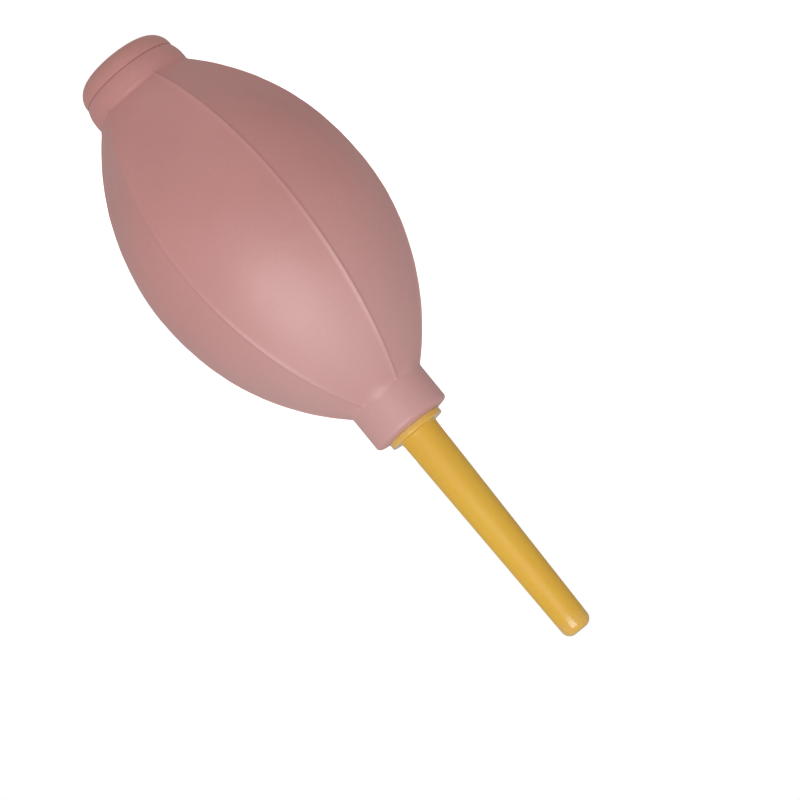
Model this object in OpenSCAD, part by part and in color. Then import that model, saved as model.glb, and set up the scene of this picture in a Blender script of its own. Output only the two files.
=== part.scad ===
// Dust blower bulb: a soft ribbed air bulb with a filtered intake valve in its rear cap
// and a long push-in nozzle behind an outlet valve in its front neck.
// Millimetres. +Z runs along the axis from the rear cap's flat face (z = 0) to the tip.

/* [Bulb] */
// Radius of the bulb at its widest point, over the ribs
belly_r = 30.5; // [24:0.5:34]
// Length from the rear neck to the widest point
rear_half_len = 42.85; // [34:0.05:52]
// Length from the widest point to the front neck
front_half_len = 46.55; // [37:0.05:56]
// Thickness of the soft wall
wall_t = 3; // [2:0.1:3.5]
// Number of ribs around the bulb, in opposite pairs
rib_count = 6; // [4:2:8]
// Height of a rib above the panels beside it
rib_h = 0.7; // [0.2:0.1:1]
// Width of a rib
rib_w = 1.2; // [0.8:0.1:2]

/* [Necks] */
// Outer radius of the rear neck
rear_neck_r = 13.2; // [12.5:0.1:16]
// Rounding of the rear neck's edge beside the cap
rear_neck_edge_r = 1.2; // [0.3:0.1:2]
// Length of the rear neck
rear_neck_len = 5.35; // [4:0.05:7]
// Outer radius of the front neck
front_neck_r = 10; // [9.5:0.05:12.5]
// Length of the front neck
front_neck_len = 10.15; // [8:0.05:13]
// Rounding of the front neck's outer edge
neck_edge_r = 0.9; // [0.3:0.1:1.5]

/* [Rear cap] */
// Distance by which the cap stands in from the rear neck's side
cap_inset = 0.7; // [0:0.05:1]
// Thickness of the cap outside the neck
cap_t = 5; // [4.5:0.05:7]
// Rounding of the cap's rear edge
cap_edge_r = 4; // [1:0.1:4.3]
// Width of the lip around the air window
lip_w = 0.8; // [0.5:0.1:1.5]
// Thickness of the lip around the air window
lip_t = 0.5; // [0.4:0.1:1]
// Wall of the cap's spigot, which plugs into the housing
cap_spigot_wall = 1.4; // [1:0.1:2]
// Length of the cap's spigot
cap_spigot_len = 3.6; // [2:0.1:3.8]

/* [Intake] */
// Thickness of the grille
grille_t = 1.3; // [0.8:0.1:2]
// Radius of the grille's holes
grille_hole_r = 0.7; // [0.4:0.1:0.8]
// Thickness of the foam filter
filter_t = 4.2; // [3:0.1:5]
// Radius of the housing's tube, which fills the rear neck's bore
housing_r = 9.5; // [9:0.1:10]
// Wall thickness of the housing's tube
housing_wall = 1.5; // [1.2:0.1:1.7]
// Depth of the housing's front edge beyond the rear neck
housing_reach = 6.5; // [5:0.1:8]
// Thickness of the housing's web, on which the intake valve closes
web_t = 2; // [1.5:0.1:2.5]
// Depth of the web's rear face from the cap
web_depth = 4.65; // [4:0.05:6]
// Gap between the intake valve's disc and the housing's tube
intake_disc_gap = 2.4; // [1.5:0.1:2.8]
// Radius of the web's air holes
intake_hole_r = 1.1; // [0.7:0.1:1.3]

/* [Valves] */
// Thickness of a valve's disc
disc_t = 0.8; // [0.6:0.1:1]
// Radius of a valve's stem
stem_r = 1; // [0.8:0.05:1.1]
// Radius of the bead that keeps a valve in its seat
bead_r = 1.6; // [1.4:0.1:2]
// Thickness of the bead
bead_t = 1.1; // [0.8:0.1:1.4]
// Distance a valve lifts
valve_lift = 1; // [0.6:0.1:1.2]
// Width of the ring on which a valve's disc closes outside the air holes
disc_cover = 0.7; // [0.5:0.05:1]
// Number of air holes around a stem
air_hole_count = 6; // [4:1:6]

/* [Outlet] */
// Outer radius of the bush in the front neck
bush_r = 7; // [6.8:0.1:7.2]
// Length of the bush
bush_len = 15; // [14:0.1:18]
// Wall of the bush around the nozzle's socket
bush_wall = 1.4; // [1.1:0.1:1.7]
// Height of the shoulder between the socket and the outlet valve
shoulder_h = 0.5; // [0.4:0.1:0.8]
// Gap between the outlet valve's disc and the shoulder
outlet_disc_gap = 0.5; // [0.3:0.1:0.8]
// Thickness of the outlet valve's seat
outlet_seat_t = 2; // [1.5:0.1:2.4]
// Radius of the seat's air holes
outlet_hole_r = 0.9; // [0.6:0.1:1]

/* [Nozzle] */
// Length of the nozzle beyond the front neck
nozzle_len = 60.1; // [40:0.1:90]
// Distance by which the nozzle's flange covers the edge of the bush
flange_cover = 0.1; // [0:0.05:1.5]
// Thickness of the flange
flange_t = 1.6; // [1.2:0.1:3]
// Radius of the tube where it leaves the flange
root_r = 4.8; // [4.6:0.05:5.2]
// Length over which the root narrows into the tube
root_len = 6; // [4:0.5:10]
// Radius of the tube just past its root
tube_r = 4.7; // [4.2:0.05:4.75]
// Radius of the tube at its tip
tip_r = 3.65; // [3.4:0.05:4]
// Rounding of the tip
tip_edge_r = 2.3; // [1:0.1:2.4]
// Length of the spigot that plugs into the socket
spigot_len = 8.9; // [8:0.1:9.2]
// Wall of the spigot under the sealing ring
spigot_wall = 0.95; // [0.7:0.05:1.5]
// Radius of the air outlet in the tip
outlet_r = 1.25; // [0.8:0.05:1.4]
// Length of the air outlet's straight bore
outlet_len = 10; // [5:1:15]
// Thickness of the sealing ring's cord
ring_t = 1.2; // [0.9:0.05:1.3]

/* [Hidden] */
$fn = 96;

// Radial clearance of a running fit, and the length by which a cutter passes its face
running_gap = 0.05;
over = 1;

// Places along the axis
rear_neck_z = cap_t;
rear_joint_z = rear_neck_z + rear_neck_len;
belly_z = rear_joint_z + rear_half_len;
front_joint_z = belly_z + front_half_len;
front_face_z = front_joint_z + front_neck_len;
flange_top_z = front_face_z + flange_t;
tip_z = front_face_z + nozzle_len;

// Meridians: one arc on each side of the widest point, tangent to each other there
panel_r = belly_r - rib_h;
function arc_radius(rise, run) = (run * run + rise * rise) / (2 * rise);
rear_arc_r = arc_radius(panel_r - rear_neck_r, rear_half_len);
front_arc_r = arc_radius(panel_r - front_neck_r, front_half_len);
// Radius of the air space at a height in the front half
function cavity_r(z) = panel_r - front_arc_r + sqrt(pow(front_arc_r - wall_t, 2) - pow(z - belly_z, 2));

// Rear cap and intake
cap_r = rear_neck_r - cap_inset;
housing_bore_r = housing_r - housing_wall;
chamber_r = housing_bore_r - cap_spigot_wall;
window_r = chamber_r - lip_w;
grille_z = lip_t;
filter_z = grille_z + grille_t;
grille_pitch = chamber_r / 3;
grille_rings = [[1, 0], [6, grille_pitch], [12, 2 * grille_pitch]];
housing_end_z = rear_joint_z + housing_reach;
web_z = rear_neck_z + web_depth;
web_top_z = web_z + web_t;
intake_disc_r = housing_bore_r - intake_disc_gap;
intake_hole_ring_r = intake_disc_r - disc_cover - intake_hole_r;
barb_h = 0.8;
barb_len = 3;
barb_z = rear_joint_z + 2;

// Outlet and nozzle
bush_z = front_face_z - bush_len;
socket_r = bush_r - bush_wall;
spigot_z = front_face_z - spigot_len;
socket_floor_gap = 1;
socket_z = spigot_z - socket_floor_gap;
shoulder_r = socket_r - shoulder_h;
shoulder_t = 1.1;
seat_top_z = socket_z - shoulder_t;
seat_z = seat_top_z - outlet_seat_t;
outlet_seat_r = socket_r + 0.3;
outlet_disc_r = shoulder_r - outlet_disc_gap;
outlet_hole_ring_r = outlet_disc_r - disc_cover - outlet_hole_r;
bush_lip_t = 1.6;
bush_lip_z = bush_z + 0.6;
bush_lip_gap = 0.25;
bush_lip_r = cavity_r(bush_lip_z + bush_lip_t) - bush_lip_gap;
spigot_r = socket_r - running_gap;
ring_z = front_face_z - spigot_len / 2;
groove_w = ring_t + 0.4;
groove_r = spigot_r - ring_t;
passage_r = groove_r - spigot_wall;
flange_r = bush_r + flange_cover;
flange_edge_r = 0.7;

// A ring of round cutters, parallel to the axis
module hole_ring(count, ring_r, hole_r, z, depth)
    for (i = [0 : count - 1])
        rotate([0, 0, i * 360 / count])
            translate([ring_r, 0, z - over])
                cylinder(r = hole_r, h = depth + 2 * over);

// A round bore along the axis
module bore(r, z, depth)
    translate([0, 0, z])
        cylinder(r = r, h = depth);

// Half outline of a disc whose upper edge is rounded
module round_edge_outline(r, h, edge) {
    square([r - edge, h]);
    if (h > edge) square([r, h - edge]);
    intersection() {
        translate([r - edge, h - edge]) circle(r = edge);
        translate([r - edge, 0]) square([edge, h]);
    }
}

// Half outline of the swelling: the rear and the front arc, drawn in by a wall
module swelling_outline(inset) {
    intersection() {
        translate([panel_r - rear_arc_r, belly_z]) circle(r = rear_arc_r - inset, $fn = 240);
        translate([0, belly_z - rear_half_len]) square([belly_r, rear_half_len]);
    }
    intersection() {
        translate([panel_r - front_arc_r, belly_z]) circle(r = front_arc_r - inset, $fn = 240);
        translate([0, belly_z]) square([belly_r, front_half_len]);
    }
}

module ribs()
    intersection() {
        rotate_extrude() swelling_outline(-rib_h);
        for (i = [0 : rib_count / 2 - 1])
            rotate([0, 0, i * 360 / rib_count])
                translate([-belly_r - over, -rib_w / 2, rear_joint_z])
                    cube([2 * (belly_r + over), rib_w, rear_half_len + front_half_len]);
    }

module bulb()
    color([0.78, 0.58, 0.56])
        difference() {
            union() {
                rotate_extrude() swelling_outline(0);
                ribs();
                translate([0, 0, rear_joint_z + over])
                    mirror([0, 0, 1])
                        rotate_extrude() round_edge_outline(rear_neck_r, rear_neck_len + over, rear_neck_edge_r);
                translate([0, 0, front_joint_z - over])
                    rotate_extrude() round_edge_outline(front_neck_r, front_neck_len + over, neck_edge_r);
            }
            rotate_extrude() swelling_outline(wall_t);
            bore(housing_r, rear_neck_z - over, rear_neck_len + wall_t + over);
            bore(bush_r, front_joint_z - wall_t, front_neck_len + wall_t + over);
        }

module rear_cap()
    color([0.74, 0.52, 0.49])
        difference() {
            union() {
                translate([0, 0, cap_t])
                    mirror([0, 0, 1]) rotate_extrude() round_edge_outline(cap_r, cap_t, cap_edge_r);
                bore(housing_bore_r, cap_t - over, cap_spigot_len + over);
            }
            bore(window_r, -over, lip_t + 2 * over);
            bore(chamber_r, lip_t, cap_t + cap_spigot_len);
        }

module intake_grille()
    color([0.25, 0.25, 0.26])
        difference() {
            bore(chamber_r, grille_z, grille_t);
            for (ring = grille_rings)
                hole_ring(ring[0], ring[1], grille_hole_r, grille_z, grille_t);
        }

module intake_filter()
    color([0.88, 0.88, 0.84])
        bore(chamber_r, filter_z, filter_t);

module valve_housing()
    color([0.92, 0.91, 0.88])
        difference() {
            union() {
                bore(housing_r, rear_neck_z, housing_end_z - rear_neck_z);
                translate([0, 0, barb_z])
                    cylinder(r1 = housing_r + barb_h, r2 = housing_r, h = barb_len);
            }
            bore(housing_bore_r, rear_neck_z - over, web_depth + over);
            bore(housing_bore_r, web_top_z, housing_end_z - web_top_z + over);
            bore(stem_r + running_gap, web_z - over, web_t + 2 * over);
            hole_ring(air_hole_count, intake_hole_ring_r, intake_hole_r, web_z, web_t);
        }

// A mushroom valve: disc on the seat's front face, stem through it, bead behind it
module mushroom_valve(disc_r, seat_bottom, seat_top) {
    bead_top = seat_bottom - valve_lift - 0.1;
    color([0.93, 0.93, 0.9]) {
        bore(disc_r, seat_top, disc_t);
        bore(stem_r, bead_top - bead_t / 2, seat_top + disc_t / 2 - bead_top + bead_t / 2);
        bore(bead_r, bead_top - bead_t, bead_t);
    }
}

module intake_valve() mushroom_valve(intake_disc_r, web_z, web_top_z);

module outlet_valve() mushroom_valve(outlet_disc_r, seat_z, seat_top_z);

module front_bush()
    color([0.92, 0.91, 0.88])
        difference() {
            union() {
                bore(bush_r, bush_z, bush_len);
                bore(bush_lip_r, bush_lip_z, bush_lip_t);
            }
            bore(outlet_seat_r, bush_z - over, seat_top_z - bush_z + over);
            bore(shoulder_r, bush_z, bush_len);
            bore(socket_r, socket_z, front_face_z - socket_z + over);
        }

module outlet_seat()
    color([0.85, 0.85, 0.83])
        difference() {
            bore(outlet_seat_r, seat_z, outlet_seat_t);
            bore(stem_r + running_gap, seat_z - over, outlet_seat_t + 2 * over);
            hole_ring(air_hole_count, outlet_hole_ring_r, outlet_hole_r, seat_z, outlet_seat_t);
        }

module nozzle()
    color([0.87, 0.69, 0.28])
        difference() {
            union() {
                difference() {
                    bore(spigot_r, spigot_z, spigot_len + over);
                    difference() {
                        bore(socket_r, ring_z - groove_w / 2, groove_w);
                        bore(groove_r, ring_z - groove_w / 2 - over, groove_w + 2 * over);
                    }
                }
                translate([0, 0, front_face_z])
                    rotate_extrude() round_edge_outline(flange_r, flange_t, flange_edge_r);
                translate([0, 0, flange_top_z])
                    cylinder(r1 = root_r, r2 = tube_r, h = root_len);
                tube();
            }
            translate([0, 0, spigot_z])
                cylinder(r1 = passage_r, r2 = outlet_r, h = tip_z - outlet_len - spigot_z);
            bore(passage_r, spigot_z - over, over + 0.01);
            bore(outlet_r, tip_z - outlet_len - over, outlet_len + 2 * over);
        }

// The tapered tube from the root to the rounded tip
module tube() {
    straight_end_z = tip_z - tip_edge_r;
    translate([0, 0, flange_top_z + root_len])
        cylinder(r1 = tube_r, r2 = tip_r, h = straight_end_z - flange_top_z - root_len);
    translate([0, 0, straight_end_z])
        rotate_extrude() round_edge_outline(tip_r, tip_edge_r, tip_edge_r);
}

module nozzle_o_ring()
    color([0.12, 0.12, 0.12])
        translate([0, 0, ring_z])
            rotate_extrude() translate([spigot_r - ring_t / 2, 0]) circle(r = ring_t / 2);

bulb();
rear_cap();
intake_grille();
intake_filter();
valve_housing();
intake_valve();
front_bush();
outlet_seat();
outlet_valve();
nozzle();
nozzle_o_ring();
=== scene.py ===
"""Looks of a dust blower bulb: its silicone bulb and cap, its nozzle, their finishes and the studio."""

import logging
import math
from dataclasses import dataclass
from enum import Enum
from typing import Any, Callable, Sequence

import bpy
import numpy as np
from mathutils import Matrix, Vector


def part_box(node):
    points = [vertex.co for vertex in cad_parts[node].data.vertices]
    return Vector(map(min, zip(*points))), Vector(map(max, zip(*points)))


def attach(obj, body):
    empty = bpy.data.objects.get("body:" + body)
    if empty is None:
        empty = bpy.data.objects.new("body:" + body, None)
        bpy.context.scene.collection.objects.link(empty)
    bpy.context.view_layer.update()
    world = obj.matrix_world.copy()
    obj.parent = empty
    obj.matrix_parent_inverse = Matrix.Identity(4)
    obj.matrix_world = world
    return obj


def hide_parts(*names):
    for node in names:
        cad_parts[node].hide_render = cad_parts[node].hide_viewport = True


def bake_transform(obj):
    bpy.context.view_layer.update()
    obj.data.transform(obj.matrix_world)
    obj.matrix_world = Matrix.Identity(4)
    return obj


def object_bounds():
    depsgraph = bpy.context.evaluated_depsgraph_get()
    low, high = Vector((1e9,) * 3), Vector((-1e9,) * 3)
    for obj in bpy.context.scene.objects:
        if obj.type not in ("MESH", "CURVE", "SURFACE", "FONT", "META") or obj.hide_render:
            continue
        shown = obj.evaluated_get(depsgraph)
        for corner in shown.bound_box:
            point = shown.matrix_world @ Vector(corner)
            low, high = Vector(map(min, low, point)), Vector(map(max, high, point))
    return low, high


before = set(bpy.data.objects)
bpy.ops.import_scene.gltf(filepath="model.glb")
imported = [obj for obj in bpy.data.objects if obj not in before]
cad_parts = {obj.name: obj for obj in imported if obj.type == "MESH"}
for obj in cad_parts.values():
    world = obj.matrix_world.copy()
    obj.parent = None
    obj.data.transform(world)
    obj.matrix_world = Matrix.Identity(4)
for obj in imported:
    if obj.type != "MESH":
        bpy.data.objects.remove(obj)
cad_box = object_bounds()

log = logging.getLogger("blower")
MM = 0.001
Colour = tuple[float, float, float]


# ---------------------------------------------------------------- shader maths


class Value:
    """A number that comes out of a shader node. Arithmetic on it adds Math nodes."""

    def __init__(self, recipe: "Recipe", socket: bpy.types.NodeSocket) -> None:
        """Wraps one output socket of a recipe's node tree."""
        self.recipe = recipe
        self.socket = socket

    def _math(self, operation: str, *terms: Any) -> "Value":
        """Adds one Math node that works on the terms."""
        return self.recipe.add("ShaderNodeMath", {"operation": operation}, dict(enumerate(terms)))

    def __add__(self, other: Any) -> "Value":
        """Sum."""
        return self._math("ADD", self, other)

    __radd__ = __add__

    def __mul__(self, other: Any) -> "Value":
        """Product."""
        return self._math("MULTIPLY", self, other)

    __rmul__ = __mul__

    def __sub__(self, other: Any) -> "Value":
        """Difference."""
        return self._math("SUBTRACT", self, other)

    def __rsub__(self, other: Any) -> "Value":
        """Difference, with the plain number first."""
        return self._math("SUBTRACT", other, self)

    def __lt__(self, other: Any) -> "Value":
        """One where this value is the smaller, else zero."""
        return self._math("LESS_THAN", self, other)

    def rise(self, low: float, high: float) -> "Value":
        """Smooth step from 0 at low to 1 at high; high may be the smaller."""
        settings = {"interpolation_type": "SMOOTHSTEP"}
        return self.recipe.add("ShaderNodeMapRange", settings, {0: self, 1: low, 2: high, 3: 0.0, 4: 1.0})


class Recipe:
    """One procedural material, built node by node."""

    def __init__(self, name: str) -> None:
        """Starts an empty node tree with Object coordinates ready to use."""
        self.material = bpy.data.materials.new(name)
        self.material.use_nodes = True
        self.tree = self.material.node_tree
        self.tree.nodes.clear()
        self.place = self.add("ShaderNodeTexCoord", output="Object")

    def add(
        self,
        kind: str,
        settings: dict[str, Any] | None = None,
        inputs: dict[Any, Any] | None = None,
        output: Any = 0,
    ) -> Value:
        """Adds any node.

        Args:
            kind: The node's type.
            settings: Attributes of the node, set before its sockets.
            inputs: Socket names or numbers, each with a plain value or a Value.
            output: Name or number of the output to hand back.

        Returns:
            The chosen output.
        """
        node = self.tree.nodes.new(kind)
        for key, setting in (settings or {}).items():
            setattr(node, key, setting)
        for key, given in (inputs or {}).items():
            if isinstance(given, Value):
                self.tree.links.new(given.socket, node.inputs[key])
            else:
                node.inputs[key].default_value = given
        return Value(self, node.outputs[output])

    def noise(
        self,
        size: float,
        detail: float = 2.0,
        roughness: float = 0.5,
        stretch: Colour = (1, 1, 1),
    ) -> Value:
        """Cloudy pattern around 0.5.

        Args:
            size: Size of its largest features, in metres.
            detail: Number of finer octaves.
            roughness: Strength of the finer octaves.
            stretch: Factors on the coordinates, below 1 where features are drawn out.

        Returns:
            The pattern.
        """
        place = self.add("ShaderNodeMapping", inputs={"Vector": self.place, "Scale": stretch})
        inputs = {"Vector": place, "Scale": 1 / size, "Detail": detail, "Roughness": roughness}
        return self.add("ShaderNodeTexNoise", inputs=inputs, output=0)

    def specks(self, spacing: float, radius: float, share: float) -> Value:
        """Sparse round specks.

        Args:
            spacing: Distance between possible specks, in metres.
            radius: Radius of a speck, in metres.
            share: Share of the possible specks that are there.

        Returns:
            One inside a speck, zero outside.
        """
        settings = {"feature": "F1"}
        inputs = {"Vector": self.place, "Scale": 1 / spacing, "Randomness": 1.0}
        near = self.add("ShaderNodeTexVoronoi", settings, inputs, output="Distance")
        pick = self.add("ShaderNodeTexVoronoi", settings, inputs, output="Color")
        red = self.add("ShaderNodeSeparateColor", inputs={"Color": pick}, output=0)
        return near.rise(radius / spacing, 0.4 * radius / spacing) * (red < share)

    def tint(self, share: Value, first: Any, second: Any) -> Value:
        """Colour between two, at a share of the way from the first to the second."""
        ends = [end if isinstance(end, Value) else (*end, 1.0) for end in (first, second)]
        return self.add("ShaderNodeMix", {"data_type": "RGBA"}, {0: share, 6: ends[0], 7: ends[1]}, output=2)

    def relief(self, height: Value, depth: float, below: Value | None = None) -> Value:
        """Normal of a surface that stands up by depth metres where height is 1."""
        inputs = {"Height": height, "Distance": depth, "Strength": 1.0}
        if below is not None:
            inputs["Normal"] = below
        return self.add("ShaderNodeBump", inputs=inputs)

    def finish(self, **sockets: Any) -> bpy.types.Material:
        """Closes the recipe with one Principled shader.

        Args:
            sockets: The shader's sockets, with underscores for spaces.

        Returns:
            The material.
        """
        named = {key.replace("_", " "): given for key, given in sockets.items()}
        shader = self.add("ShaderNodeBsdfPrincipled", inputs=named)
        result = self.tree.nodes.new("ShaderNodeOutputMaterial")
        self.tree.links.new(shader.socket, result.inputs["Surface"])
        return self.material


# ---------------------------------------------------------------- finishes


@dataclass(frozen=True)
class Silicone:
    """Matt moulded silicone with cloudy pigment, a fine grain, a little dust and a pale painted sheen
    (painted highlight).
    """

    slot: str
    base: Colour
    deep: Colour
    roughness: float = 0.42
    grain: float = 0.00001
    dust: float = 0.3
    dust_share: float = 0.45
    sheen: float = 0.05
    # painted sheen: a pale colour laid over the pigment, stronger towards the nozzle end, stands in for the
    # soft highlight there
    painted_sheen: float = 0.13
    painted_sheen_from: float = 35 * MM
    painted_sheen_to: float = 100 * MM
    painted_sheen_colour: Colour = (0.93, 0.88, 0.88)
    dust_colour: Colour = (0.80, 0.66, 0.62)

    def make(self) -> bpy.types.Material:
        """Builds the material.

        Returns:
            Pigment mixed by two noises, a pale painted sheen that grows up the object as a painted
            highlight, pale dust specks, and grain and soft waves as relief.
        """
        mix = Recipe(self.slot)
        clouds = mix.noise(28 * MM, detail=3.0)
        flecks = mix.noise(0.9 * MM, detail=2.0)
        pigment = mix.tint((clouds + (flecks - 0.5) * 0.35).rise(0.25, 0.8), self.base, self.deep)
        height = mix.add("ShaderNodeSeparateXYZ", inputs={"Vector": mix.place}, output="Z")
        # painted highlight: the colour turns paler with height, as if lit more towards the nozzle end
        painted_sheen = height.rise(self.painted_sheen_from, self.painted_sheen_to) * (clouds * 0.3 + 0.85) * self.painted_sheen
        pale = mix.tint(painted_sheen, pigment, self.painted_sheen_colour)
        dust = mix.specks(5.5 * MM, 0.16 * MM, self.dust)
        colour = mix.tint(dust * self.dust_share, pale, self.dust_colour)
        skin = mix.relief(mix.noise(0.35 * MM, detail=3.0, roughness=0.65), self.grain)
        waves = mix.relief(mix.noise(11 * MM, detail=2.0), 8 * self.grain, skin)
        rough = (clouds - 0.5) * 0.12 + (flecks - 0.5) * 0.1 + self.roughness
        return mix.finish(
            Base_Color=colour,
            Roughness=rough + dust * 0.2,
            IOR=1.48,
            Specular_IOR_Level=1.0,
            Sheen_Weight=self.sheen,
            Sheen_Roughness=0.45,
            Normal=waves,
        )


@dataclass(frozen=True)
class MouldedPlastic:
    """Moulded plastic with faint flow streaks along the axis and handling marks.

    It is satin between the two heights of satin. Beyond them it is glossier, by polish.
    """

    slot: str
    base: Colour
    deep: Colour
    roughness: float = 0.32
    grain: float = 0.000004
    depth_share: float = 0.0
    depth: float = 1.5 * MM
    polish: float = 0.0
    coat_per_polish: float = 3.5
    satin: tuple[float, float] = (111.3 * MM, 168 * MM)
    satin_steps: tuple[float, float] = (0.8 * MM, 3 * MM)

    def make(self) -> bpy.types.Material:
        """Builds the material.

        Returns:
            Flow streaks in the colour, cloudy handling marks and polished ends in the gloss, and a fine
            grain as relief.
        """
        mix = Recipe(self.slot)
        height = mix.add("ShaderNodeSeparateXYZ", inputs={"Vector": mix.place}, output="Z")
        (low, high), (low_step, high_step) = self.satin, self.satin_steps
        satin = height.rise(low, low + low_step) * height.rise(high, high - high_step)
        gloss = (satin - 1) * self.polish
        streaks = mix.noise(5 * MM, detail=3.0, stretch=(1.0, 1.0, 0.15))
        marks = mix.noise(6 * MM, detail=4.0, roughness=0.6)
        colour = mix.tint(streaks.rise(0.3, 0.8), self.base, self.deep)
        grain = mix.relief(mix.noise(0.3 * MM, detail=2.0), self.grain)
        wave = mix.relief(mix.noise(7 * MM, detail=1.0), 6 * self.grain, grain)
        return mix.finish(
            Base_Color=colour,
            Roughness=(marks - 0.5) * 0.16 + gloss + self.roughness,
            IOR=1.49,
            Specular_IOR_Level=0.7,
            Coat_Weight=gloss * -self.coat_per_polish,
            Coat_Roughness=0.08,
            Coat_IOR=1.65,
            Subsurface_Weight=self.depth_share,
            Subsurface_Radius=(1.0, 0.35, 0.1),
            Subsurface_Scale=self.depth,
            Normal=wave,
        )


@dataclass(frozen=True)
class Foam:
    """Open-cell foam."""

    slot: str
    base: Colour
    painted_pore_shade: Colour

    def make(self) -> bpy.types.Material:
        """Builds the material: pores coloured dark as painted shade in pale foam, sunk by a relief."""
        mix = Recipe(self.slot)
        inputs = {"Vector": mix.place, "Scale": 1 / (0.5 * MM)}
        cells = mix.add("ShaderNodeTexVoronoi", {"feature": "F1"}, inputs, output="Distance")
        wall = cells.rise(0.2, 0.6)
        return mix.finish(
            # painted shade: the sunk pores get the dark colour
            Base_Color=mix.tint(wall, self.painted_pore_shade, self.base),
            Roughness=0.95,
            Normal=mix.relief(wall, 0.1 * MM),
        )


@dataclass(frozen=True)
class Rubber:
    """Black or pale moulded rubber for seals and valves."""

    slot: str
    base: Colour
    deep: Colour
    roughness: float = 0.45

    def make(self) -> bpy.types.Material:
        """Builds the material: a faint cloud in colour and gloss."""
        mix = Recipe(self.slot)
        clouds = mix.noise(3 * MM, detail=3.0)
        return mix.finish(
            Base_Color=mix.tint(clouds, self.base, self.deep),
            Roughness=(clouds - 0.5) * 0.2 + self.roughness,
            Normal=mix.relief(mix.noise(0.4 * MM), 0.004 * MM),
        )


class Finish(Enum):
    """The blower's finishes. Each name stands for one material slot of the record."""

    BULB = Silicone("bulb_silicone", base=(0.58, 0.25, 0.23), deep=(0.54, 0.22, 0.2))
    CAP = Silicone("cap_silicone", base=(0.58, 0.25, 0.215), deep=(0.53, 0.215, 0.185), roughness=0.4)
    NOZZLE = MouldedPlastic(
        "nozzle_plastic",
        base=(0.8, 0.48, 0.032),
        deep=(0.77, 0.44, 0.028),
        depth_share=0.35,
        roughness=0.42,
        polish=0.28,
    )
    GRILLE = MouldedPlastic(
        "grille_plastic",
        base=(0.03, 0.03, 0.032),
        deep=(0.022, 0.022, 0.024),
        roughness=0.5,
    )
    FILTER = Foam("filter_foam", base=(0.74, 0.73, 0.68), painted_pore_shade=(0.3, 0.3, 0.27))
    INSERT = MouldedPlastic("insert_plastic", base=(0.78, 0.76, 0.7), deep=(0.72, 0.7, 0.63), roughness=0.42)
    VALVE = Rubber("valve_silicone", base=(0.85, 0.85, 0.82), deep=(0.75, 0.75, 0.71))
    SEAL = Rubber("seal_rubber", base=(0.02, 0.02, 0.02), deep=(0.035, 0.035, 0.035))


class Palette:
    """Makes each finish once and hands it out."""

    def __init__(self) -> None:
        """Makes every finish's material."""
        self.materials = {finish: finish.value.make() for finish in Finish}

    def dress(self, piece: bpy.types.Object, finish: Finish) -> None:
        """Gives a new piece its material, which bears its slot's name."""
        piece.data.materials.clear()
        piece.data.materials.append(self.materials[finish])

    def repaint(self, node: str, finish: Finish) -> None:
        """Gives a CAD node a better material in each of its slots."""
        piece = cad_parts[node]
        for place in piece.material_slots:
            place.material = self.materials[finish]
        log.info("repainted %s as %s", node, finish.name)


# ---------------------------------------------------------------- surfaces


def arc_outline(
    corners: Sequence[tuple[float, float, float]],
    closed: bool = True,
    steps: int = 7,
) -> np.ndarray:
    """Outline through corners, each rounded by an arc.

    A corner's arc touches both of its edges at radius / tan(half the corner's inner angle) from it, and its
    points are the centre plus the radius turned evenly from one touching point to the other.

    Args:
        corners: Radius from the axis, height and rounding of each corner, in metres.
        closed: Whether the last corner joins the first.
        steps: Number of intervals along each arc.

    Returns:
        Points as rows of radius and height.
    """
    points = np.array([corner[:2] for corner in corners], float)
    count = len(points)
    outline: list[np.ndarray] = []
    for index, (*_, rounding) in enumerate(corners):
        here = points[index]
        at_end = not closed and index in (0, count - 1)
        if rounding <= 0 or at_end:
            outline.append(here[None, :])
            continue
        back = points[index - 1] - here
        ahead = points[(index + 1) % count] - here
        back /= np.linalg.norm(back)
        ahead /= np.linalg.norm(ahead)
        inner = math.acos(float(np.clip(back @ ahead, -1, 1)))
        bisector = back + ahead
        centre = here + bisector / np.linalg.norm(bisector) * rounding / math.sin(inner / 2)
        touch = rounding / math.tan(inner / 2)
        start, stop = here + back * touch - centre, here + ahead * touch - centre
        sweep = math.pi - inner
        turn = math.copysign(1, start[0] * stop[1] - start[1] * stop[0])
        angles = np.linspace(0, sweep, steps + 1)[:, None] * turn
        side = np.array([-start[1], start[0]])
        outline.append(centre + start * np.cos(angles) + side * np.sin(angles))
    return np.vstack(outline)


def divided(outline: np.ndarray, longest: float) -> np.ndarray:
    """Outline with even points added so that no side is much longer than longest.

    Args:
        outline: Points as rows of radius and height, joined first to last.
        longest: Longest side to leave whole, in metres.

    Returns:
        The finer outline.
    """
    ahead = np.roll(outline, -1, axis=0)
    parts = np.maximum(1, np.ceil(np.linalg.norm(ahead - outline, axis=1) / longest)).astype(int)
    side = np.repeat(np.arange(len(outline)), parts)
    step = np.arange(parts.sum()) - np.repeat(np.cumsum(parts) - parts, parts)
    share = (step / parts[side])[:, None]
    return outline[side] * (1 - share) + ahead[side] * share


def even_azimuths(columns: int) -> np.ndarray:
    """Evenly spaced azimuths of a full turn, in radians."""
    return np.linspace(0, 2 * math.pi, columns, endpoint=False)


def turned_grid(radius: np.ndarray, height: np.ndarray, azimuth: np.ndarray) -> np.ndarray:
    """Points at radius (cos azimuth, sin azimuth) and height.

    Args:
        radius: One row per place on the outline, one column per azimuth.
        height: The same shape, or one column.
        azimuth: One per column.

    Returns:
        Rows by columns by 3 coordinates.
    """
    radius, height, azimuth = np.broadcast_arrays(radius, height, azimuth[None, :])
    return np.stack([radius * np.cos(azimuth), radius * np.sin(azimuth), height], axis=-1)


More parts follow.
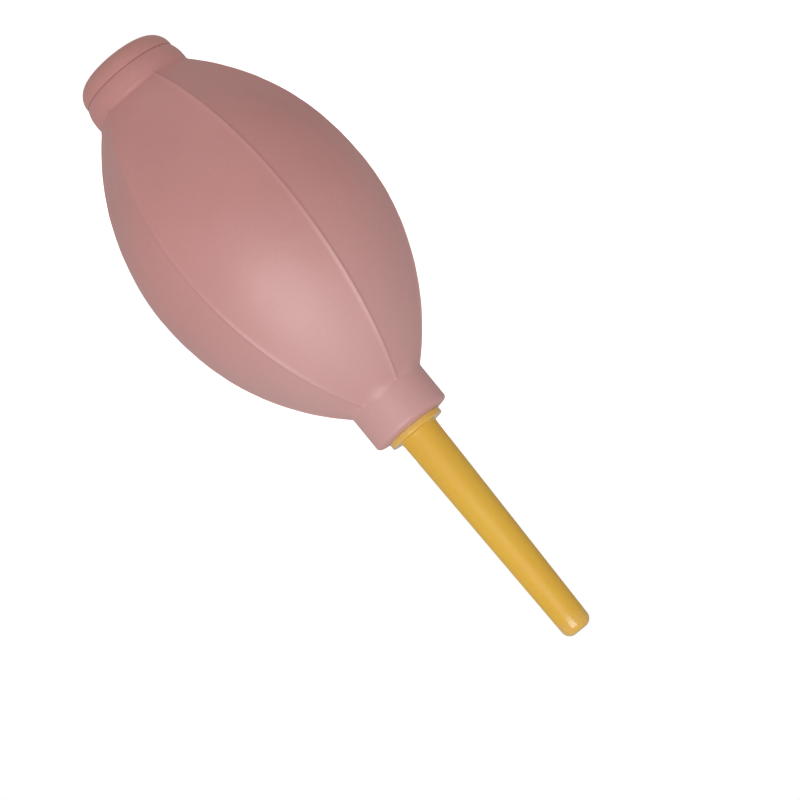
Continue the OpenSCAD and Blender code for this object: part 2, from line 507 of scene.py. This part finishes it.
def closed_shell(name: str, grid: np.ndarray) -> bpy.types.Object:
    """Mesh of a grid that closes on itself in both directions.

    Face (i, j) joins point (i, j) to its neighbours in the next row and column, counted round at the ends.

    Args:
        name: Name of the piece.
        grid: Rows by columns by 3 coordinates, with rows running anticlockwise seen along +azimuth.

    Returns:
        The piece, with outward faces and smooth shading.
    """
    rows, columns = grid.shape[:2]
    index = np.arange(rows * columns).reshape(rows, columns)
    ahead, beside = np.roll(index, -1, axis=0), np.roll(index, -1, axis=1)
    across = np.roll(ahead, -1, axis=1)
    quads = np.stack([index, beside, across, ahead], axis=-1).reshape(-1, 4)
    mesh = bpy.data.meshes.new(name)
    mesh.from_pydata(grid.reshape(-1, 3), [], quads)
    mesh.shade_smooth()
    mesh.update()
    piece = bpy.data.objects.new(name, mesh)
    bpy.context.scene.collection.objects.link(piece)
    log.info("%s: %d faces", name, len(mesh.polygons))
    return piece


def smooth_max(first: np.ndarray, second: np.ndarray, blend: float) -> np.ndarray:
    """The larger of two, plus blend / 4 (1 - gap / blend) squared while their gap is under blend."""
    share = np.clip(1 - np.abs(first - second) / blend, 0, None)
    return np.maximum(first, second) + share**2 * blend / 4


# ---------------------------------------------------------------- the blower's pieces


@dataclass
class Bulb:
    """The ribbed silicone bulb with its two necks. Sizes are in metres."""

    palette: Palette
    rear_neck_len: float = 5.35 * MM
    front_neck_len: float = 10.15 * MM
    rear_half_len: float = 42.85 * MM
    rear_neck_r: float = 13.2 * MM
    rear_foot_r: float = 12.4 * MM
    front_neck_r: float = 10.0 * MM
    rear_joint_r: float = 13.15 * MM
    front_joint_r: float = 9.9 * MM
    rear_bore_r: float = 9.5 * MM
    front_bore_r: float = 7.0 * MM
    wall: float = 3.0 * MM
    ribs: int = 6
    bead_h: float = 0.3 * MM
    bead_w: float = 0.42 * MM
    flat_middle: float = 0.08
    flat_rear: float = 0.6
    flat_front: float = 0.22
    flat_necks: float = 0.25
    rear_hump_power: float = 2.6
    front_hump_power: float = 2.2
    barrel_len: float = 3.4 * MM
    shoulder: float = 1.1 * MM
    shoulder_lead: float = 0.6 * MM
    shoulder_fall: float = 9.0
    rear_fillet: float = 0.7 * MM
    rib_fillet: float = 0.5 * MM
    panel_fillet: float = 1.3 * MM
    overlap: float = 4 * MM
    fillet_end: float = 1.5 * MM
    rim_len: float = 2 * MM
    foot_edge: float = 0.15 * MM
    dent: float = 0.07 * MM

    def __post_init__(self) -> None:
        """Takes the bulb's ends and girth from the CAD node's box."""
        low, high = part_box("bulb")
        self.rear_z, self.front_z, self.belly_r = low.z, high.z, high.x
        self.rear_joint_z = self.rear_z + self.rear_neck_len
        self.front_joint_z = self.front_z - self.front_neck_len
        self.belly_z = self.rear_joint_z + self.rear_half_len

    def azimuths(self, intervals: int = 24, crowding: float = 1.7) -> np.ndarray:
        """Azimuths crowded towards the ribs.

        From a panel's middle to a rib, the angle is the half sector times 1 - (1 - t) to the power crowding.

        Args:
            intervals: Number of columns from a panel's middle to a rib.
            crowding: Power that draws the columns to the rib.

        Returns:
            Azimuths of a full turn, in radians.
        """
        half = math.pi / self.ribs
        share = 1 - (1 - np.linspace(0, 1, intervals + 1)) ** crowding
        sector = half * np.concatenate([-share[:0:-1], share[:-1]])
        middles = half + 2 * half * np.arange(self.ribs)
        return (middles[:, None] + sector[None, :]).ravel()

    def ridge_radius(self, z: np.ndarray, inset: float = 0.0) -> np.ndarray:
        """Radius over the ribs at heights z: one arc each side of the widest point, tangent there.

        With rise = belly radius - joint radius and run = length of that side, the arc's radius is
        (run squared + rise squared) / (2 rise), and its centre lies level with the widest point.

        Args:
            z: Heights.
            inset: Distance by which the surface is drawn in along its normal.

        Returns:
            Radii, of the shape of z.
        """

        def side(joint_r: float, run: float) -> np.ndarray:
            rise = self.belly_r - self.bead_h - joint_r
            arc = (run**2 + rise**2) / (2 * rise)
            inside = np.clip((arc - inset) ** 2 - (z - self.belly_z) ** 2, 0, None)
            return self.belly_r - self.bead_h - arc + np.sqrt(inside)

        rear = side(self.rear_joint_r, self.rear_half_len)
        front = side(self.front_joint_r, self.front_joint_z - self.belly_z)
        return np.where(z < self.belly_z, rear, front)

    def flatness(self, z: np.ndarray) -> np.ndarray:
        """How flat the panels are at heights z.

        A straight change from the middle's flatness to the necks', plus a half sine wave over a power of
        the way to the neck, so that each half is flattest past three fifths of the way to its neck.
        """
        behind = z < self.belly_z
        run = np.where(behind, self.rear_half_len, self.front_joint_z - self.belly_z)
        way = np.clip(np.abs(z - self.belly_z) / run, 0, 1)
        rear = self.flat_rear * np.sin(math.pi * way**self.rear_hump_power)
        front = self.flat_front * np.sin(math.pi * way**self.front_hump_power)
        hump = np.where(behind, rear, front)
        return self.flat_middle + (self.flat_necks - self.flat_middle) * way + hump

    def body_radius(self, z: np.ndarray, azimuth: np.ndarray) -> np.ndarray:
        """Radius of the swelling: ridge radius times its section, plus the ribs' beads.

        The section lies between a circle and a polygon, which is cos(half sector) / cos(angle from the
        panel's middle). A bead is a bell curve of the arc distance from its rib, and two sine waves along
        it make it lumpy.
        """
        half = math.pi / self.ribs
        from_rib = np.abs((azimuth + half) % (2 * half) - half)
        ridge = self.ridge_radius(z)
        flat = self.flatness(z)
        section = 1 - flat + flat * math.cos(half) / np.cos(half - from_rib)
        lumps = 1 + 0.05 * np.sin(760 * z + 5 * azimuth) + 0.04 * np.sin(1430 * z - 3 * azimuth + 2)
        bead = self.bead_h * lumps * np.exp(-((ridge * from_rib / self.bead_w) ** 2))
        return ridge * section + bead

    def neck_radius(self, z: np.ndarray) -> np.ndarray:
        """Radius of the necks: a barrelled rear neck with a rounded shoulder, and a straight front neck."""
        way = np.clip((z - self.rear_z) / self.barrel_len, 0, 1)
        rear = self.rear_neck_r - (self.rear_neck_r - self.rear_foot_r) * (1 - way) ** 2
        past = (z - self.rear_joint_z + self.shoulder_lead) / self.shoulder
        rounded = 1 - np.sqrt(1 - np.clip(past, 0, 1) ** 2)
        fall = self.shoulder_fall * np.clip(past - 1, 0, None)
        rear -= self.shoulder * rounded + self.shoulder * fall
        front = np.where(z > self.front_joint_z - self.overlap, self.front_neck_r, 0)
        return np.maximum(rear, front)

    def unevenness(self, z: np.ndarray, azimuth: np.ndarray) -> np.ndarray:
        """Slow dents of a moulded wall: three waves of z and azimuth, none at the necks."""
        inside = np.clip((z - self.rear_joint_z) / (self.front_joint_z - self.rear_joint_z), 0, 1)
        fade = np.sin(math.pi * inside) ** 2
        waves = (
            np.sin(2 * azimuth + 95 * z + 0.4)
            + 0.7 * np.sin(3 * azimuth - 140 * z + 1.9)
            + 0.5 * np.sin(5 * azimuth + 210 * z + 4.0)
        )
        return self.dent * fade * waves

    def outer(self, azimuth: np.ndarray) -> tuple[np.ndarray, np.ndarray]:
        """Radius and height of the outside, from the rear neck's foot to the front neck's edge."""
        rear_end = self.rear_joint_z + self.overlap
        front_start = self.front_joint_z - self.overlap
        z = np.concatenate(
            [
                np.linspace(self.rear_z + self.foot_edge, rear_end, 52, endpoint=False),
                np.linspace(rear_end, front_start, 92, endpoint=False),
                np.linspace(front_start, self.front_joint_z + self.fillet_end, 34, endpoint=False),
                np.linspace(self.front_joint_z + self.fillet_end, self.front_z - self.rim_len, 8),
            ]
        )[:, None]
        body = self.body_radius(z, azimuth[None, :]) + self.unevenness(z, azimuth[None, :])
        on_panel = np.sin(azimuth * self.ribs / 2)[None, :] ** 2
        front_fillet = self.rib_fillet + self.panel_fillet * on_panel
        fillet = np.where(z < self.belly_z, self.rear_fillet, front_fillet)
        return smooth_max(self.neck_radius(z), body, fillet), z

    def build(self) -> bpy.types.Object:
        """Builds the bulb as one closed shell and dresses it.

        Returns:
            The bulb.
        """
        azimuth = self.azimuths()
        radius, z = self.outer(azimuth)
        rim = arc_outline(
            [
                (self.front_neck_r, self.front_z - self.rim_len, 0),
                (self.front_neck_r, self.front_z - 0.6 * MM, 0.95 * MM),
                (self.front_bore_r, self.front_z - 0.02 * MM, 0.06 * MM),
                (self.front_bore_r, self.front_joint_z - 1.2 * MM, 0),
            ],
            closed=False,
        )[1:]
        inner_z = np.linspace(self.front_joint_z - 1.9 * MM, self.rear_joint_z + 1.6 * MM, 56)
        inner_r = np.clip(self.ridge_radius(inner_z, self.wall) - 0.6 * MM, self.front_bore_r, None)
        foot = arc_outline(
            [
                (self.rear_bore_r, self.rear_joint_z + 1.0 * MM, 0),
                (self.rear_bore_r, self.rear_z, 0.2 * MM),
                (self.rear_foot_r, self.rear_z, 0.14 * MM),
                (self.rear_foot_r, self.rear_z + self.foot_edge, 0),
            ],
            closed=False,
        )[:-1]
        plain = np.vstack([rim, np.column_stack([inner_r, inner_z]), foot])
        radius = np.vstack([radius, np.repeat(plain[:, :1], len(azimuth), axis=1)])
        height = np.vstack([z, plain[:, 1:]])
        bulb = closed_shell("bulb_skin", turned_grid(radius, height, azimuth))
        self.palette.dress(bulb, Finish.BULB)
        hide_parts("bulb")
        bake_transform(bulb)
        return bulb


@dataclass
class RearCap:
    """The rear cap with its air window and spigot, and the intake parts behind it."""

    palette: Palette
    edge: float = 4.4 * MM
    side_gap: float = 0.06 * MM
    window_r: float = 5.8 * MM
    chamber_r: float = 6.6 * MM
    spigot_r: float = 8.0 * MM
    lip: float = 0.5 * MM
    cap_t: float = 5.0 * MM

    def build(self) -> bpy.types.Object:
        """Turns the cap's outline into a closed shell.

        Returns:
            The cap.
        """
        low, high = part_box("rear_cap")
        cap_r, face = high.x - self.side_gap, low.z + self.cap_t
        corners = [
            (self.window_r, low.z + 0.15 * MM, 0.15 * MM),
            (self.window_r + 0.5 * MM, low.z, 0.3 * MM),
            (cap_r, low.z, self.edge),
            (cap_r, face - 0.04 * MM, 0.16 * MM),
            (cap_r - 0.6 * MM, face, 0.15 * MM),
            (self.spigot_r, face, 0.1 * MM),
            (self.spigot_r, high.z, 0.25 * MM),
            (self.chamber_r, high.z, 0.2 * MM),
            (self.chamber_r, low.z + self.lip, 0.1 * MM),
            (self.window_r, low.z + self.lip, 0.1 * MM),
        ]
        outline = arc_outline(corners, steps=14)
        azimuth = even_azimuths(160)
        cap = closed_shell("rear_cap_skin", turned_grid(outline[:, :1], outline[:, 1:], azimuth))
        self.palette.dress(cap, Finish.CAP)
        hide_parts("rear_cap")
        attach(cap, "root")
        self.palette.repaint("intake_grille", Finish.GRILLE)
        self.palette.repaint("intake_filter", Finish.FILTER)
        self.palette.repaint("valve_housing", Finish.INSERT)
        self.palette.repaint("intake_valve", Finish.VALVE)
        return cap


@dataclass
class Nozzle:
    """The nozzle: spigot with a ring groove, flange, and a tapered tube with a rounded tip."""

    palette: Palette
    flange_t: float = 1.6 * MM
    root_r: float = 4.8 * MM
    tube_r: float = 4.68 * MM
    tip_r: float = 3.65 * MM
    spigot_r: float = 5.55 * MM
    groove_r: float = 4.35 * MM
    groove_w: float = 1.6 * MM
    passage_r: float = 3.4 * MM
    outlet_r: float = 1.25 * MM
    outlet_len: float = 10 * MM
    mould_line_h: float = 0.02 * MM
    longest_side: float = 1.2 * MM

    def corners(self) -> list[tuple[float, float, float]]:
        """Corners of the outline, from the spigot's inner edge up the outside and down the passage."""
        low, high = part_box("nozzle")
        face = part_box("bulb")[1].z
        groove_z = (low.z + face) / 2
        groove_low, groove_high = groove_z - self.groove_w / 2, groove_z + self.groove_w / 2
        top = face + self.flange_t
        return [
            (self.passage_r, low.z, 0.2 * MM),
            (self.spigot_r, low.z, 0.5 * MM),
            (self.spigot_r, groove_low, 0.08 * MM),
            (self.groove_r, groove_low, 0.1 * MM),
            (self.groove_r, groove_high, 0.1 * MM),
            (self.spigot_r, groove_high, 0.08 * MM),
            (self.spigot_r, face, 0.05 * MM),
            (high.x, face, 0.12 * MM),
            (high.x, top - 0.16 * MM, 0.34 * MM),
            (self.root_r + 0.1 * MM, top, 0.5 * MM),
            (self.root_r, top + 1.2 * MM, 3 * MM),
            (self.tube_r, top + 6 * MM, 20 * MM),
            (self.tip_r, high.z, 2.2 * MM),
            (self.outlet_r, high.z, 0.15 * MM),
            (self.outlet_r, high.z - self.outlet_len, 0.5 * MM),
        ]

    def build(self) -> bpy.types.Object:
        """Turns the nozzle's outline into a closed shell, with a faint mould line on two sides.

        Returns:
            The nozzle.
        """
        outline = divided(arc_outline(self.corners(), steps=12), self.longest_side)
        azimuth = even_azimuths(144)
        tube_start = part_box("bulb")[1].z + 3 * MM
        on_tube = (outline[:, :1] > self.tip_r * 0.9) & (outline[:, 1:] > tube_start)
        line = self.mould_line_h * np.exp(-((np.sin(azimuth) / 0.03) ** 2))[None, :] * on_tube
        nozzle = closed_shell("nozzle_skin", turned_grid(outline[:, :1] + line, outline[:, 1:], azimuth))
        self.palette.dress(nozzle, Finish.NOZZLE)
        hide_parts("nozzle")
        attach(nozzle, "nozzle")
        self.palette.repaint("nozzle_o_ring", Finish.SEAL)
        self.palette.repaint("front_bush", Finish.INSERT)
        self.palette.repaint("outlet_seat", Finish.INSERT)
        self.palette.repaint("outlet_valve", Finish.VALVE)
        return nozzle


# ---------------------------------------------------------------- the studio


@dataclass
class Studio:
    """Pale floor, one soft light, surroundings that look white, and the camera."""

    azimuth: float = -7.7
    lean: float = 5.45
    roll: float = 50.75
    distance: float = 620 * MM
    aim_z: float = 103.2 * MM
    aim_side: float = 1.27 * MM
    half_view: float = 8.43
    key_turn: float = 17.0
    key_height: float = 24.0
    key_aim_z: float = 122 * MM
    key_reach: float = 0.4
    key_size: float = 0.3
    key_power: float = 0.56
    sky_turn: float = 22.0
    sky_height: float = 2.0
    dim: float = 0.38
    bright: float = 0.77
    dim_tint: Colour = (1.08, 0.96, 0.87)
    bright_tint: Colour = (0.97, 1.0, 1.05)
    floor_glow: float = 0.85

    def facing(self, azimuth: float, elevation: float = 0.0) -> Vector:
        """Unit direction from the axis; azimuth 0 is -Y, as in the views, and grows towards +X."""
        turn, rise = math.radians(azimuth), math.radians(elevation)
        level = math.cos(rise)
        return Vector((math.sin(turn) * level, -math.cos(turn) * level, math.sin(rise)))

    def camera(self) -> None:
        """Places the camera.

        The camera looks at a point beside the axis. Its back direction leans from the facing direction by
        the nozzle's lean, and it is rolled until the axis runs down to the right in its view.
        """
        up_axis, out = Vector((0, 0, 1)), self.facing(self.azimuth)
        lean, roll = math.radians(self.lean), math.radians(self.roll)
        side = out.cross(up_axis)
        back = math.sin(lean) * up_axis + math.cos(lean) * out
        along = math.cos(lean) * up_axis - math.sin(lean) * out
        right = math.sin(roll) * side + math.cos(roll) * along
        up = math.cos(roll) * side - math.sin(roll) * along
        data = bpy.data.cameras.new("camera")
        data.sensor_width = 36.0
        data.lens = 18.0 / math.tan(math.radians(self.half_view))
        data.clip_start, data.clip_end = 0.01, 50.0
        camera = bpy.data.objects.new("camera", data)
        place = up_axis * self.aim_z + side * self.aim_side + back * self.distance
        turn = Matrix((right, up, back)).transposed().to_4x4()
        camera.matrix_world = Matrix.Translation(place) @ turn
        bpy.context.scene.collection.objects.link(camera)
        bpy.context.scene.camera = camera

    def softbox(
        self,
        name: str,
        aim_z: float,
        towards: Vector,
        reach: float,
        size: float,
        power: float,
    ) -> None:
        """Adds a square soft light that faces a point on the object's axis.

        Args:
            name: Name of the light.
            aim_z: Height of the point, in metres.
            towards: Direction from the point to the light.
            reach: Distance from the point, in metres.
            size: Side of the light, in metres.
            power: Power in watts.
        """
        data = bpy.data.lights.new(name, "AREA")
        data.size = size
        data.energy = power
        light = bpy.data.objects.new(name, data)
        light.location = Vector((0, 0, aim_z)) + towards * reach
        light.rotation_euler = towards.to_track_quat("Z", "Y").to_euler()
        bpy.context.scene.collection.objects.link(light)

    def floor(self) -> None:
        """Adds the pale floor: a wide disc under the object, too bright to show more than soft shadows."""
        radius = np.array([[0.0001], [0.05], [0.2], [0.6], [1.6]])
        azimuth = even_azimuths(64)
        level = cad_box[0].z - 0.02 * MM
        grid = turned_grid(radius, np.full_like(radius, level), azimuth)
        rows, columns = grid.shape[:2]
        index = np.arange(rows * columns).reshape(rows, columns)
        inner, beside = index[:-1], np.roll(index, -1, axis=1)[:-1]
        outer, across = index[1:], np.roll(index, -1, axis=1)[1:]
        quads = np.stack([inner, outer, across, beside], axis=-1).reshape(-1, 4)
        mesh = bpy.data.meshes.new("floor")
        mesh.from_pydata(grid.reshape(-1, 3), [], quads)
        mesh.update()
        floor = bpy.data.objects.new("floor", mesh)
        bpy.context.scene.collection.objects.link(floor)
        paint = Recipe("floor_paint")
        floor.data.materials.append(
            paint.finish(
                Base_Color=(0.8, 0.8, 0.8, 1),
                Roughness=0.9,
                Emission_Color=(1, 1, 1, 1),
                Emission_Strength=self.floor_glow,
            )
        )
        floor.visible_diffuse = False
        floor.visible_glossy = False

    def surroundings(self) -> None:
        """Sets surroundings that look white and light the object more, and cooler, from the key's side."""
        world = bpy.data.worlds.new("surroundings")
        world.use_nodes = True
        bpy.context.scene.world = world
        tree = world.node_tree
        tree.nodes.clear()
        node = tree.nodes.new
        place, path = node("ShaderNodeTexCoord"), node("ShaderNodeLightPath")
        towards = node("ShaderNodeVectorMath")
        towards.operation = "DOT_PRODUCT"
        towards.inputs[1].default_value = self.facing(self.azimuth + self.sky_turn, self.sky_height)
        share = node("ShaderNodeMapRange")
        share.inputs["From Min"].default_value = -1
        share.inputs["To Min"].default_value = self.dim
        share.inputs["To Max"].default_value = self.bright
        tint = node("ShaderNodeMix")
        tint.data_type = "RGBA"
        tint.inputs[6].default_value = (*self.dim_tint, 1)
        tint.inputs[7].default_value = (*self.bright_tint, 1)
        lit, seen, mix, out = (
            node("ShaderNodeBackground"),
            node("ShaderNodeBackground"),
            node("ShaderNodeMixShader"),
            node("ShaderNodeOutputWorld"),
        )
        seen.inputs["Color"].default_value = (1, 1, 1, 1)
        tree.links.new(place.outputs["Generated"], towards.inputs[0])
        tree.links.new(towards.outputs["Value"], share.inputs["Value"])
        tree.links.new(share.outputs[0], lit.inputs["Strength"])
        tree.links.new(share.outputs[0], tint.inputs[0])
        tree.links.new(tint.outputs[2], lit.inputs["Color"])
        tree.links.new(path.outputs["Is Camera Ray"], mix.inputs[0])
        tree.links.new(lit.outputs[0], mix.inputs[1])
        tree.links.new(seen.outputs[0], mix.inputs[2])
        tree.links.new(mix.outputs[0], out.inputs["Surface"])

    def build(self) -> None:
        """Sets up the whole studio."""
        self.camera()
        self.surroundings()
        self.floor()
        key = self.facing(self.azimuth + self.key_turn, self.key_height)
        self.softbox("key", self.key_aim_z, key, self.key_reach, self.key_size, self.key_power)
        bpy.context.scene.view_settings.view_transform = "Standard"
        log.info("studio ready")


def main() -> None:
    """Builds the blower's pieces and the studio in order."""
    logging.basicConfig(level=logging.INFO, format="%(name)s: %(message)s")
    palette = Palette()
    makers: list[Callable[[], bpy.types.Object]] = [
        Bulb(palette).build,
        RearCap(palette).build,
        Nozzle(palette).build,
    ]
    for make in makers:
        log.info("made %s", make().name)
    Studio().build()


if __name__ == "__main__":
    main()
